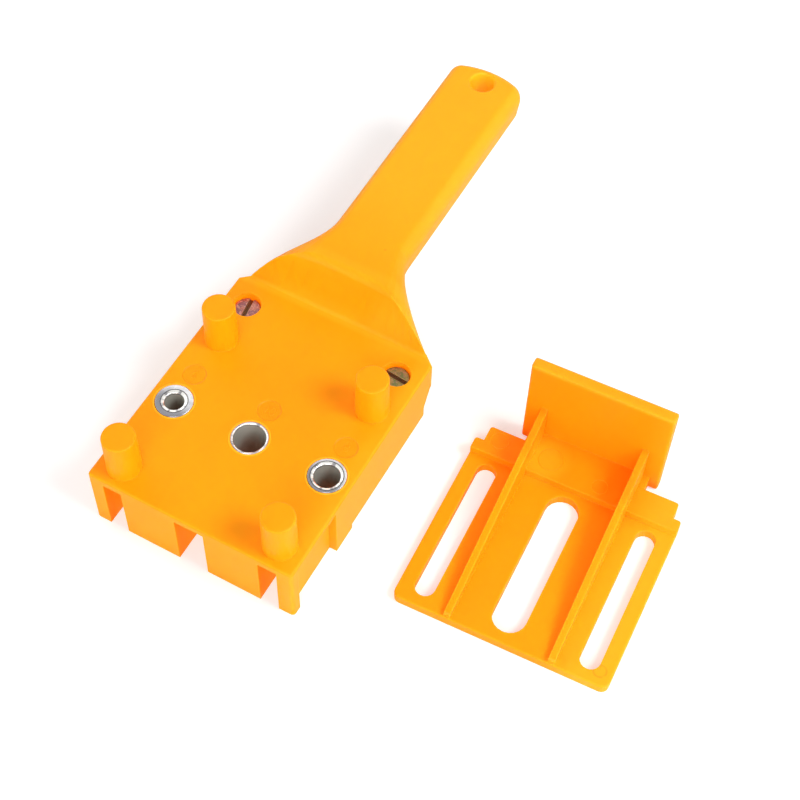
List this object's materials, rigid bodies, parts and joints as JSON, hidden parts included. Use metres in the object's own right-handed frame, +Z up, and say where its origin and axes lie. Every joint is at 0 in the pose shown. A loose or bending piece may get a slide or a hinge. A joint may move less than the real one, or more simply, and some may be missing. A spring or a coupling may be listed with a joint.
{
  "type": "dowel drill guide",
  "caption": "Hand-held dowelling drill guide with steel drill bushes, locating pegs, sight gaps and a raised handle; its slotted edge fence lies beside it.",
  "frame": {"origin": "centre of the overall box of guide and fence, at the surface both lie on", "axes": "+Y from the guide's front feet to the end of its handle, +X across the head towards the fence, +Z up out of the head's peg face"},
  "size_m": [0.1652, 0.1968, 0.0428],
  "materials": {
    "orange_plastic": "satin moulded plastic",
    "bush_steel": "hardened and ground",
    "zinc_steel": "zinc plated"
  },
  "bodies": {
    "root": {"guide_body": "orange_plastic", "bush_6mm": "bush_steel", "bush_8mm": "bush_steel", "bush_10mm": "bush_steel", "clamp_screw_left": "zinc_steel", "clamp_screw_right": "zinc_steel", "clamp_nut_left": "zinc_steel", "clamp_nut_right": "zinc_steel", "fence_plate": "orange_plastic"}
  },
  "joints": []
}
